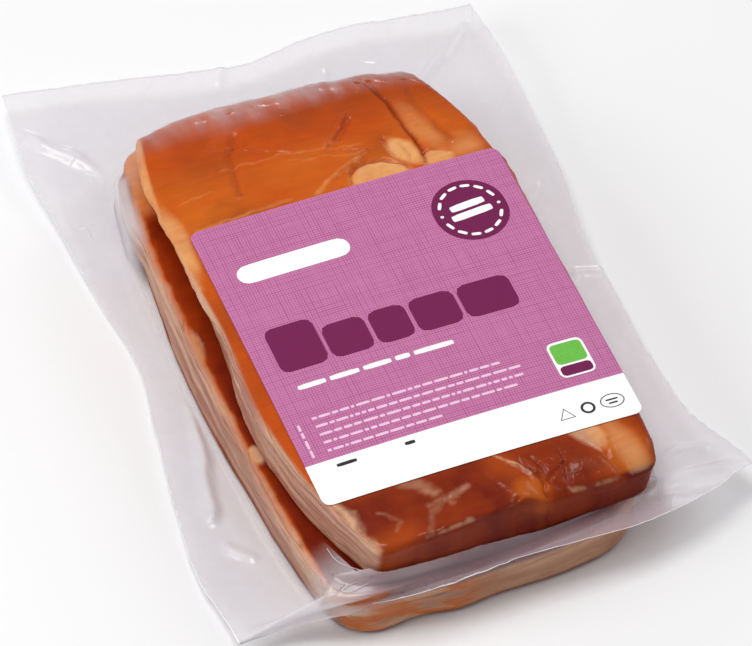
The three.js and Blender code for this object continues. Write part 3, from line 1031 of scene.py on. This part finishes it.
def mix_colour(tree, share, first, second, blend="MIX"):
    """Output of a colour mix."""
    inputs = {0: share, 6: first, 7: second}
    return node(tree, "ShaderNodeMix", inputs, data_type="RGBA", blend_type=blend).outputs[2]


def remap(tree, value, low, high, to_low=0.0, to_high=1.0):
    """Output of a clamped map from one range to another."""
    inputs = {0: value, 1: low, 2: high, 3: to_low, 4: to_high}
    return node(tree, "ShaderNodeMapRange", inputs).outputs[0]


def noise_value(tree, vector, scale, detail=4.0, roughness=0.55):
    """Grey value of noise."""
    inputs = {"Vector": vector, "Scale": scale, "Detail": detail, "Roughness": roughness}
    return node(tree, "ShaderNodeTexNoise", inputs).outputs["Fac"]


def warped_vector(tree, vector, scale, amount):
    """A vector moved about by coloured noise."""
    warp = node(tree, "ShaderNodeTexNoise", {"Vector": vector, "Scale": scale, "Detail": 2.0})
    centred = vector_node(tree, "SUBTRACT", warp.outputs["Color"], (0.5, 0.5, 0.5))
    return vector_node(tree, "MULTIPLY_ADD", centred, (amount, amount, amount), vector)


def middle_lines(tree, noise, width):
    """Thin lines where noise crosses its middle value."""
    away = math_node(tree, "ABSOLUTE", math_node(tree, "SUBTRACT", noise, 0.5))
    return remap(tree, away, 0.0, width, 1.0, 0.0)


def shaded(tree, colour, noise, low, high):
    """A colour made darker and lighter by noise."""
    shade = remap(tree, noise, 0.3, 0.7, low, high)
    grey = node(tree, "ShaderNodeCombineColor", {0: shade, 1: shade, 2: shade}).outputs[0]
    return mix_colour(tree, 1.0, colour, grey, "MULTIPLY")


def bump(tree, height, strength, distance, normal=None):
    """Normal of a relief, over another relief's normal if one is given."""
    inputs = {"Strength": strength, "Distance": distance, "Height": height}
    if normal is not None:
        inputs["Normal"] = normal
    return node(tree, "ShaderNodeBump", inputs).outputs[0]


def new_group(name, **numbers):
    """A shader node group that takes a vector and named numbers, and its inputs."""
    group = bpy.data.node_groups.new(name, "ShaderNodeTree")
    group.interface.new_socket("Vector", in_out="INPUT", socket_type="NodeSocketVector")
    for key, default in numbers.items():
        socket = group.interface.new_socket(key, in_out="INPUT", socket_type="NodeSocketFloat")
        socket.default_value = default
    return group, group.nodes.new("NodeGroupInput").outputs


def closed_group(group, **results):
    """A node group ended with its named results."""
    for key in results:
        group.interface.new_socket(key, in_out="OUTPUT", socket_type="NodeSocketFloat")
    node(group, "NodeGroupOutput", results)
    return group


def place_group(tree, maker, name, **inputs):
    """Outputs of a shared node group placed in a material. It is made where it is first used."""
    group = bpy.data.node_groups.get(name) or maker(name)
    return node(tree, "ShaderNodeGroup", inputs, node_tree=group).outputs


def grain_group(name):
    """Fibres of smoked meat: noise drawn out across the pack, with soft mottling."""
    group, given = new_group(name)
    moved = warped_vector(group, given["Vector"], 22.0, 0.008)
    fibre = noise_value(group, vector_node(group, "MULTIPLY", moved, (0.1, 1.0, 1.0)), 520.0, 5.0, 0.6)
    mottle = noise_value(group, given["Vector"], 70.0, 5.0)
    height = math_node(group, "MULTIPLY_ADD", fibre, 0.35, mottle)
    return closed_group(group, Fibre=fibre, Mottle=mottle, Height=height)


def layers_group(name):
    """Layers of a cut side: noise drawn out lengthwise, as broad streaks, thin lines and a height."""
    group, given = new_group(name)
    moved = warped_vector(group, given["Vector"], 30.0, 0.006)
    streak = noise_value(group, vector_node(group, "MULTIPLY", moved, (0.06, 0.06, 1.0)), 190.0, 5.0, 0.6)
    thin = noise_value(group, vector_node(group, "MULTIPLY", moved, (0.05, 0.05, 1.0)), 260.0, 2.0, 0.5)
    line = middle_lines(group, thin, 0.022)
    height = math_node(group, "MULTIPLY_ADD", line, -0.4, streak)
    return closed_group(group, Streak=streak, Line=line, Height=height)


def crinkle_group(name):
    """Crinkles of tight film: thin ridges where noise crosses its middle value, broken by other noise."""
    group, given = new_group(name, Scale=120.0)
    moved = warped_vector(group, given["Vector"], 60.0, 0.004)
    thin = middle_lines(group, noise_value(group, moved, given["Scale"], 1.0, 0.5), 0.035)
    broken = remap(group, noise_value(group, given["Vector"], 45.0, 2.0), 0.45, 0.65)
    return closed_group(group, Height=math_node(group, "MULTIPLY", thin, broken))


def hatch_group(name):
    """Woven fine lines: stripes along x and y at one spacing, each line with its own strength, fading
    in and out along its length."""
    group, given = new_group(name, Spacing=0.00105)
    parts = node(group, "ShaderNodeSeparateXYZ", {0: given["Vector"]}).outputs
    masks = []
    for axis in (0, 1):
        count = math_node(group, "DIVIDE", parts[axis], given["Spacing"])
        line = math_node(group, "FLOOR", count)
        within_line = math_node(group, "FRACT", count)
        away = math_node(group, "ABSOLUTE", math_node(group, "SUBTRACT", within_line, 0.5))
        stripe = remap(group, away, 0.1, 0.32, 1.0, 0.0)
        own = node(group, "ShaderNodeTexWhiteNoise", {"W": line}, noise_dimensions="1D")
        strength = math_node(group, "POWER", own.outputs["Value"], 1.6)
        place = node(group, "ShaderNodeCombineXYZ", {0: parts[1 - axis], 1: line})
        fade = remap(group, noise_value(group, place.outputs[0], 55.0, 1.0), 0.35, 0.65, 0.5, 1.0)
        line_mask = math_node(group, "MULTIPLY", stripe, remap(group, strength, 0.0, 1.0, 0.5, 1.0))
        masks.append(math_node(group, "MULTIPLY", line_mask, fade))
    both = math_node(group, "ADD", *masks)
    return closed_group(group, Mask=math_node(group, "MINIMUM", both, 1.0))


def attribute_parts(tree, name):
    """Red, green and blue of a mesh attribute."""
    colour = node(tree, "ShaderNodeVertexColor", layer_name=name).outputs["Color"]
    return node(tree, "ShaderNodeSeparateColor", {0: colour}).outputs[:3]


def bacon_material(name, colours):
    """Smoked meat under tight film: mixed by the slab's zones, with fibres, lengthwise layers in the
    cut sides and a clear wet coat."""
    material, tree, place = new_material(name)
    fat, dark, cut = attribute_parts(tree, "zones")
    golden, crinkled, gloss = attribute_parts(tree, "tones")
    grain = place_group(tree, grain_group, "meat grain", Vector=place)
    layers = place_group(tree, layers_group, "cut layers", Vector=place)
    crinkles = place_group(tree, crinkle_group, "film crinkles", Vector=place, Scale=210.0)

    # The dark zone holds dark smoke and painted shade, and the fat zone also holds painted highlights along
    # the front edge
    # Smoked skin, with fat frayed by the grain
    uneven = math_node(tree, "SUBTRACT", grain["Mottle"], 0.5)
    lightness = math_node(tree, "MULTIPLY_ADD", uneven, 0.8, golden)
    skin = mix_colour(tree, lightness, colours.smoked, colours.golden)
    rough_dark = math_node(tree, "MULTIPLY_ADD", uneven, 0.7, dark)
    skin = mix_colour(tree, remap(tree, rough_dark, 0.0, 1.0), skin, colours.dark)
    fray = math_node(tree, "MULTIPLY_ADD", uneven, 1.6, 1.0)
    fibre = math_node(tree, "SUBTRACT", grain["Fibre"], 0.5)
    fray = math_node(tree, "MULTIPLY_ADD", fibre, 0.25, fray)
    marbling = mix_colour(tree, dark, colours.fat, colours.cut)
    skin = mix_colour(tree, remap(tree, math_node(tree, "MULTIPLY", fray, fat), 0.03, 0.97), skin, marbling)

    # Cut side, with lean streaks and thin lines
    side = mix_colour(tree, remap(tree, layers["Streak"], 0.42, 0.62), colours.cut, colours.muscle)
    side = mix_colour(tree, math_node(tree, "MULTIPLY", layers["Line"], 0.7), side, colours.seam)
    base = shaded(tree, mix_colour(tree, cut, skin, side), grain["Fibre"], 0.94, 1.06)

    relief = bump(tree, grain["Height"], 0.3, 0.0006)
    relief = bump(tree, math_node(tree, "MULTIPLY", layers["Height"], cut), 0.5, 0.0008, relief)
    relief = bump(tree, math_node(tree, "MULTIPLY", crinkles["Height"], crinkled), 0.34, 0.0004, relief)
    inputs = {
        "Base Color": base,
        "Roughness": 0.45,
        "Specular IOR Level": 0.08,
        "Coat Weight": math_node(tree, "MULTIPLY", gloss, 0.26),
        "Coat Roughness": 0.1,
        "Normal": relief,
        "Coat Normal": relief,
    }
    return finished(material, inputs)


def film_material(name, colours):
    """Clear film: nearly invisible where tight, milky where loose, with painted highlights in white along
    its cut edge and creases and painted shade as a greyer colour in the front band.
    """
    material, tree, place = new_material(name)
    milky, band, edge = attribute_parts(tree, "haze_and_painted_light")
    cloud = noise_value(tree, place, 22.0, 3.0)
    alpha = remap(tree, milky, 0.03, 1.0, 0.0, 0.74)
    alpha = math_node(tree, "MULTIPLY", alpha, remap(tree, cloud, 0.3, 0.7, 0.88, 1.12))
    alpha = math_node(tree, "MULTIPLY_ADD", edge, 0.7, alpha)
    # Painted shade: a greyer colour in the front band. Painted highlights: white along the cut edge and the
    # creases.
    base = mix_colour(tree, band, colours.film, colours.band)
    base = mix_colour(tree, edge, base, colours.edge)
    crinkles = place_group(tree, crinkle_group, "film crinkles", Vector=place, Scale=70.0)
    inputs = {
        "Base Color": base,
        "Roughness": 0.2,
        "Specular IOR Level": 0.8,
        "Alpha": alpha,
        "Normal": bump(tree, crinkles["Height"], 0.3, 0.0006),
    }
    return finished(material, inputs)


def paper_grain(tree, place):
    """Fine noise of paper."""
    return noise_value(tree, place, 900.0, 2.0, 0.5)


def label_material(name, colours, sizes):
    """Printed label: crossed lines on a pink ground, with a white strip at the front."""
    material, tree, place = new_material(name)
    hatch = place_group(tree, hatch_group, "woven lines", Vector=place)["Mask"]
    ground = mix_colour(tree, math_node(tree, "MULTIPLY", hatch, 0.85), colours.label, colours.hatch)
    along = node(tree, "ShaderNodeSeparateXYZ", {0: place}).outputs[1]
    strip_end = LABEL_MIDDLE[1] - sizes.label_length / 2 + sizes.strip_length
    strip = math_node(tree, "LESS_THAN", along, strip_end)
    inputs = {
        "Base Color": mix_colour(tree, strip, ground, colours.paper),
        "Roughness": 0.5,
        "Specular IOR Level": 0.35,
        "Normal": bump(tree, paper_grain(tree, place), 0.05, 0.0002),
    }
    return finished(material, inputs)


def ink_material(name, colour):
    """Printed ink with a faint paper grain."""
    material, tree, place = new_material(name)
    base = shaded(tree, colour, paper_grain(tree, place), 0.94, 1.04)
    return finished(material, {"Base Color": base, "Roughness": 0.5, "Specular IOR Level": 0.35})


def floor_material(name, colours):
    """Matte pale floor with a barely visible unevenness."""
    material, tree, place = new_material(name)
    base = shaded(tree, colours.floor, noise_value(tree, place, 3.0, 2.0, 0.5), 0.99, 1.0)
    return finished(material, {"Base Color": base, "Roughness": 0.9})


def plate(cx, cy, width, length, lift, thickness, cells=(8, 8), radius=1.0, turn=0.0):
    """A thin rectangle with round corners that follows the pack's top: points past a corner's centre
    are pulled in to its radius."""
    grid, border = square_params(*cells)
    c, s = math.cos(math.radians(turn)), math.sin(math.radians(turn))

    def plan(params):
        x, y = params[..., 0] * width / 2, params[..., 1] * length / 2
        over_x = np.maximum(0, np.abs(x) - (width / 2 - radius))
        over_y = np.maximum(0, np.abs(y) - (length / 2 - radius))
        over = np.hypot(over_x, over_y)
        reach = np.maximum(over_x, over_y)
        pull = np.where(over > 0, reach / np.maximum(over, 1e-9) - 1, 0)
        x = x + np.sign(x) * over_x * pull
        y = y + np.sign(y) * over_y * pull
        return np.stack([cx + x * c - y * s, cy + x * s + y * c], -1)

    rows = np.stack([on_top(plan(border), lift + thickness), on_top(plan(border), lift)])
    top, under = on_top(plan(grid), lift + thickness), on_top(plan(grid), lift)
    return closed_surface(cells, rows, top, under)


def bar(x, y, long, high, lift=INK, radius=None, turn=0.0):
    """A printed bar with its left end at x."""
    cells = (max(4, int(long / BAR_CELL)), max(4, int(high / BAR_CELL)))
    corner = min(long, high) * BAR_ROUNDING if radius is None else radius
    return plate(x + long / 2, y, long, high, lift, INK_THICKNESS, cells, corner, turn)


def ring(cx, cy, radius_x, radius_y, line, lift, thickness, steps=72, corners=0, turn=0.0):
    """A thin ring that follows the pack's top: an ellipse, or a polygon with that many corners,
    carried with a rectangular cross-section."""
    angle = np.linspace(0, 2 * math.pi, steps, endpoint=False)
    reach = np.ones(steps)
    if corners:
        part = 2 * math.pi / corners
        reach = math.cos(part / 2) / np.cos((angle + math.radians(turn)) % part - part / 2)
    rows = []
    for grow, height in ((-0.5, 1), (0.5, 1), (0.5, 0), (-0.5, 0)):
        x = cx + (radius_x + grow * line) * reach * np.cos(angle)
        y = cy + (radius_y + grow * line) * reach * np.sin(angle)
        rows.append(on_top(np.stack([x, y], -1), lift + thickness * height))
    points = np.concatenate(rows)
    index = np.arange(4 * steps).reshape(4, steps)
    below = np.roll(index, -1, axis=0)
    quads = np.stack([index, below, np.roll(below, -1, axis=1), np.roll(index, -1, axis=1)], -1)
    return points, quads.reshape(-1, 4)


def joined(parts):
    """Several surfaces as one."""
    points, quads, start = [], [], 0
    for part_points, part_quads in parts:
        points.append(part_points)
        quads.append(part_quads + start)
        start += len(part_points)
    return np.concatenate(points), np.concatenate(quads)


def disc_dashes():
    """Dashes in a ring on the disc. The one at each side is short."""
    dashes = []
    for step in range(DASHES):
        angle = math.radians(step * 360 / DASHES)
        x, y = DISC_X + DASH_REACH_X * math.cos(angle), DISC_Y + DASH_REACH_Y * math.sin(angle)
        long = 3.6 if step % 7 else 1.2
        turn = math.degrees(angle) + 90
        dashes.append(plate(x, y, long, 1.3, UPPER_INK, INK_THICKNESS, DASH_CELLS, 0.5, turn))
    return dashes


def plum_print():
    """A row of blocks, the round disc and the tile's lower bar."""
    parts = [bar(*block, radius=3.2) for block in PLUM_BLOCKS]
    parts.append(plate(DISC_X, DISC_Y, 27.5, 30, INK, INK_THICKNESS, DISC_CELLS, 13.75))
    parts.append(plate(TILE_X, -42, 11.8, 4.6, UPPER_INK, INK_THICKNESS, TILE_CELLS, 1.6))
    return parts


def white_print():
    """A long bar, two bars on the disc, a line of bars under the blocks, the dashes and the tile's
    ground."""
    parts = [
        bar(-51, 42, 43, 9, radius=4.5),
        bar(32, 45, 13.5, 3.2, UPPER_INK, turn=6),
        bar(31, 40.5, 16, 3.2, UPPER_INK, turn=6),
    ]
    x = -49.5
    for long in (10.5, 11, 10.5, 5.5, 15):
        parts.append(bar(x, -15, long, 2.2))
        x += long + 1.6
    parts += disc_dashes()
    parts.append(plate(TILE_X, -36.6, 13.6, 17, INK, INK_THICKNESS, TILE_CELLS, 2.6))
    return parts


def pale_print():
    """Rows of small bars of seeded lengths, with an upright row at their left."""
    parts = []
    draw = np.random.RandomState(12)
    for row, end in enumerate(ROW_ENDS):
        x, y = ROW_START, FIRST_ROW - ROW_STEP * row
        while x < end - 3:
            long = min(end - x, draw.uniform(1.2, 5.5))
            parts.append(bar(x, y, long, 1.15))
            x += long + BAR_SPACE
    for y, long in ((-45, 3.5), (-40.6, 4), (-36, 2.6), (-32.4, 3)):
        parts.append(plate(-55.6, y, long, 1.0, INK, INK_THICKNESS, DASH_CELLS, 0.3, 90))
    return parts


def green_print():
    """The upper part of the tile."""
    return [plate(TILE_X, -34, 11.8, 9.6, UPPER_INK, INK_THICKNESS, TILE_CELLS, 1.8)]


def ink_print():
    """Two short bars, and a triangle, a ring and an oval with two lines, on the white strip."""
    return [
        bar(-49.5, -53.1, 7.4, 1.5),
        bar(-24, -52.9, 3.8, 1.5),
        ring(33.6, -61.2, 3.1, 3.1, 0.5, INK, INK_THICKNESS, corners=3, turn=-90),
        ring(42, -60.4, 2.2, 2.2, 0.9, INK, INK_THICKNESS),
        ring(51.3, -60.2, 4.3, 3.0, 0.35, INK, INK_THICKNESS),
        bar(49, -59.6, 4.6, 0.7),
        bar(49.6, -61.2, 3.4, 0.7),
    ]


class BACONPACK_OT_slabs(bpy.types.Operator):
    """Adds the two smoked bacon slabs, one on the other"""

    bl_idname = "bacon_pack.slabs"
    bl_label = "Bacon Slabs"

    def execute(self, context):
        colours = context.scene.bacon_pack_colours
        material = bacon_material("smoked bacon", colours)

        # Upper slab
        grid, border = square_params(*UPPER_CELLS, UPPER_SHARES, UPPER_REACH)
        top = on_top(top_plan(grid[..., 0], grid[..., 1], 1))
        rows = upper_top_rows(*border.T, 0, np.linspace(0, 90, 9))
        points, quads = slab_surface(rows, UPPER_FOOT, UPPER_POWER, SLAB_SPLIT + HALF_SPACE, top, grid)
        normals = vertex_normals(points, quads)
        points = points + normals * upper_relief(points, normals, crease_depth)[:, None]
        zones, tones = upper_zones(points, normals)
        points = sunk(points)
        upper = add_mesh("upper_slab", points, quads, material, {"zones": zones, "tones": tones})
        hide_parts("pouch")

        # Lower slab, with a flat top under the upper one and a round ledge beside it
        grid, border = square_params(*LOWER_CELLS)
        a, b = border.T
        level = SLAB_SPLIT - HALF_SPACE
        fillet = ledge_fillet(a, b)
        rows = []
        for angle in np.radians(np.linspace(0, 90, 7)):
            plan = slab_plan(LOWER_TOP, LOWER_POWER, a, b, fillet * (1 - math.sin(angle)))
            rows.append(lifted(plan, level - fillet * (1 - math.cos(angle))))
        a, b = grid[..., 0], grid[..., 1]
        reach = np.maximum(np.maximum(np.abs(a), np.abs(b)), 1e-6)
        top = lifted(slab_plan(LOWER_TOP, LOWER_POWER, a, b, ledge_fillet(a / reach, b / reach)), level)
        points, quads = slab_surface(rows, LOWER_FOOT, LOWER_POWER, SLAB_LIFT, top, grid)
        normals = vertex_normals(points, quads)
        points = points + normals * lower_relief(points, normals)[:, None]
        points[:, 2] = np.clip(points[:, 2], SLAB_LIFT, level)
        zones, tones = lower_zones(points, normals)
        lower = add_mesh("lower_slab", points, quads, material, {"zones": zones, "tones": tones})
        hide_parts("pouch")
        return {"FINISHED"}


class BACONPACK_OT_film(bpy.types.Operator):
    """Adds the clear pouch drawn tight over the slabs, with its wide sealed rim"""

    bl_idname = "bacon_pack.film"
    bl_label = "Film Pouch"

    def execute(self, context):
        sizes = context.scene.bacon_pack_sizes
        gap = sizes.film_gap * MM
        rows, kinds, edge = film_rows(gap, sizes.seal_thickness * MM, sizes.wrinkle_height * MM)
        grid, _ = square_params(*FILM_CELLS)
        top = on_top(top_plan(grid[..., 0], grid[..., 1], 1), gap)
        under = slab_plan(LOWER_FOOT, LOWER_POWER, grid[..., 0], grid[..., 1], BASE_RADIUS - gap)
        points, quads = closed_surface(FILM_CELLS, rows, top, lifted(under, FILM_FLOOR))
        normals = vertex_normals(points, quads)
        patch = (len(points) - rows[..., 0].size) // 2
        kinds = np.concatenate([kinds.ravel(), np.repeat([TIGHT, UNDERNEATH], patch)])
        edge = np.concatenate([edge.ravel(), np.zeros(2 * patch)])

        # Where it is tight the film follows the slabs' surfaces
        tight = kinds == TIGHT
        high = smooth_step(points[:, 2], SLAB_SPLIT, SLAB_SPLIT + 3) * tight
        points = points + normals * (upper_relief(points, normals, spanned_depth) * high)[:, None]
        points = np.where(tight[:, None], sunk(points), points)
        z = points[:, 2]
        swollen = FILM_BULGE * left_swelling(points) * smooth_step(z, 3.5, 6) * below_ledge(z)
        points = points + normals * (swollen * (kinds == OVER_LEDGE))[:, None]

        masks = np.stack([*film_haze(points, kinds), edge], -1)
        material = film_material("clear film", context.scene.bacon_pack_colours)
        film = add_mesh("film", points, quads, material, {"haze_and_painted_light": masks})
        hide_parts("pouch")

        # White threads that paint highlights along the film's creases
        points, quads = joined([tube(places, GLINT_LINE_RADIUS) for places in FILM_GLINT_LINES])
        glint_strength = np.tile([0.3, 0.0, 0.8], (len(points), 1))
        glint_lines = add_mesh("film_glint_lines", points, quads, material, {"haze_and_painted_light": glint_strength})
        return {"FINISHED"}


class BACONPACK_OT_label(bpy.types.Operator):
    """Adds the label and its printed shapes"""

    bl_idname = "bacon_pack.label"
    bl_label = "Printed Label"

    def execute(self, context):
        sizes = context.scene.bacon_pack_sizes
        colours = context.scene.bacon_pack_colours
        width, length = sizes.label_width * MM, sizes.label_length * MM
        corner = sizes.label_radius * MM
        points, quads = plate(0, 0, width, length, LABEL_LIFT, LABEL_THICKNESS, LABEL_CELLS, corner)
        material = label_material("printed label", colours, sizes)
        label = add_mesh("label", points, quads, material, smooth=False)
        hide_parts("label")

        for name, colour, parts in (
            ("print_plum", colours.plum, plum_print()),
            ("print_white", colours.paper, white_print()),
            ("print_pale", colours.pale, pale_print()),
            ("print_green", colours.green, green_print()),
            ("print_ink", colours.ink, ink_print()),
        ):
            points, quads = joined(parts)
            material = ink_material(name.replace("_", " "), colour)
            piece = add_mesh(name, points, quads, material, smooth=False)
        return {"FINISHED"}


class BACONPACK_OT_stage(bpy.types.Operator):
    """Adds the pale floor, the studio lights and the camera"""

    bl_idname = "bacon_pack.stage"
    bl_label = "Stage"

    def execute(self, context):
        scene = context.scene
        half = FLOOR_HALF_SIZE
        corners = [(-half, -half, 0), (half, -half, 0), (half, half, 0), (-half, half, 0)]
        mesh = bpy.data.meshes.new("floor")
        mesh.from_pydata(corners, [], [(0, 1, 2, 3)])
        mesh.materials.append(floor_material("pale floor", scene.bacon_pack_colours))
        floor = bpy.data.objects.new("floor", mesh)
        scene.collection.objects.link(floor)

        world = bpy.data.worlds.new("studio")
        world.use_nodes = True
        background = world.node_tree.nodes["Background"]
        background.inputs[0].default_value = (1, 1, 1, 1)
        background.inputs[1].default_value = WORLD_LIGHT
        scene.world = world
        scene.view_settings.view_transform = "Standard"

        for name, place, size, power in LIGHTS:
            data = bpy.data.lights.new(name, "AREA")
            data.size = size
            data.energy = power
            light = bpy.data.objects.new(name, data)
            light.location = place
            light.rotation_euler = (-Vector(place)).to_track_quat("-Z", "Y").to_euler()
            scene.collection.objects.link(light)

        turn = Matrix.Rotation(-CAMERA_AZIMUTH, 3, "Z")
        right = turn @ Vector((1, 0, 0))
        up = turn @ Vector((0, math.sin(CAMERA_ELEVATION), math.cos(CAMERA_ELEVATION)))
        back = turn @ Vector((0, -math.cos(CAMERA_ELEVATION), math.sin(CAMERA_ELEVATION)))
        place = (right * CAMERA_RIGHT + up * CAMERA_UP + back * CAMERA_DISTANCE) / MM + Vector(LABEL_MIDDLE)
        data = bpy.data.cameras.new("camera")
        data.sensor_fit = "HORIZONTAL"
        data.sensor_width = SENSOR_WIDTH
        data.lens = CAMERA_FOCUS * SENSOR_WIDTH / IMAGE_WIDTH
        data.clip_end = 100
        camera = bpy.data.objects.new("camera", data)
        pose = Matrix((right, up, back)).transposed().to_4x4()
        pose.translation = place
        camera.matrix_world = pose
        scene.collection.objects.link(camera)
        scene.camera = camera
        return {"FINISHED"}


class BACONPACK_PT_panel(bpy.types.Panel):
    """Lists the sizes, the colours and the pieces of the pack"""

    bl_idname = "BACONPACK_PT_panel"
    bl_label = "Bacon Pack"
    bl_space_type = "VIEW_3D"
    bl_region_type = "UI"
    bl_category = "Bacon Pack"

    def draw(self, context):
        layout = self.layout
        for group in (context.scene.bacon_pack_sizes, context.scene.bacon_pack_colours):
            box = layout.box()
            for name in group.__annotations__:
                box.prop(group, name)
        for operator in OPERATORS:
            layout.operator(operator.bl_idname)


OPERATORS = (BACONPACK_OT_stage, BACONPACK_OT_slabs, BACONPACK_OT_film, BACONPACK_OT_label)
CLASSES = (BaconPackSizes, BaconPackColours, *OPERATORS, BACONPACK_PT_panel)


def register():
    """Registers the classes and hangs the settings on the scene."""
    for item in CLASSES:
        bpy.utils.register_class(item)
    bpy.types.Scene.bacon_pack_sizes = PointerProperty(type=BaconPackSizes)
    bpy.types.Scene.bacon_pack_colours = PointerProperty(type=BaconPackColours)


def unregister():
    """Takes the settings and classes away again."""
    del bpy.types.Scene.bacon_pack_sizes
    del bpy.types.Scene.bacon_pack_colours
    for item in reversed(CLASSES):
        bpy.utils.unregister_class(item)


def main():
    """Builds the stage and the pack."""
    register()
    bpy.ops.bacon_pack.stage()
    bpy.ops.bacon_pack.slabs()
    bpy.ops.bacon_pack.film()
    bpy.ops.bacon_pack.label()


if __name__ == "__main__":
    main()
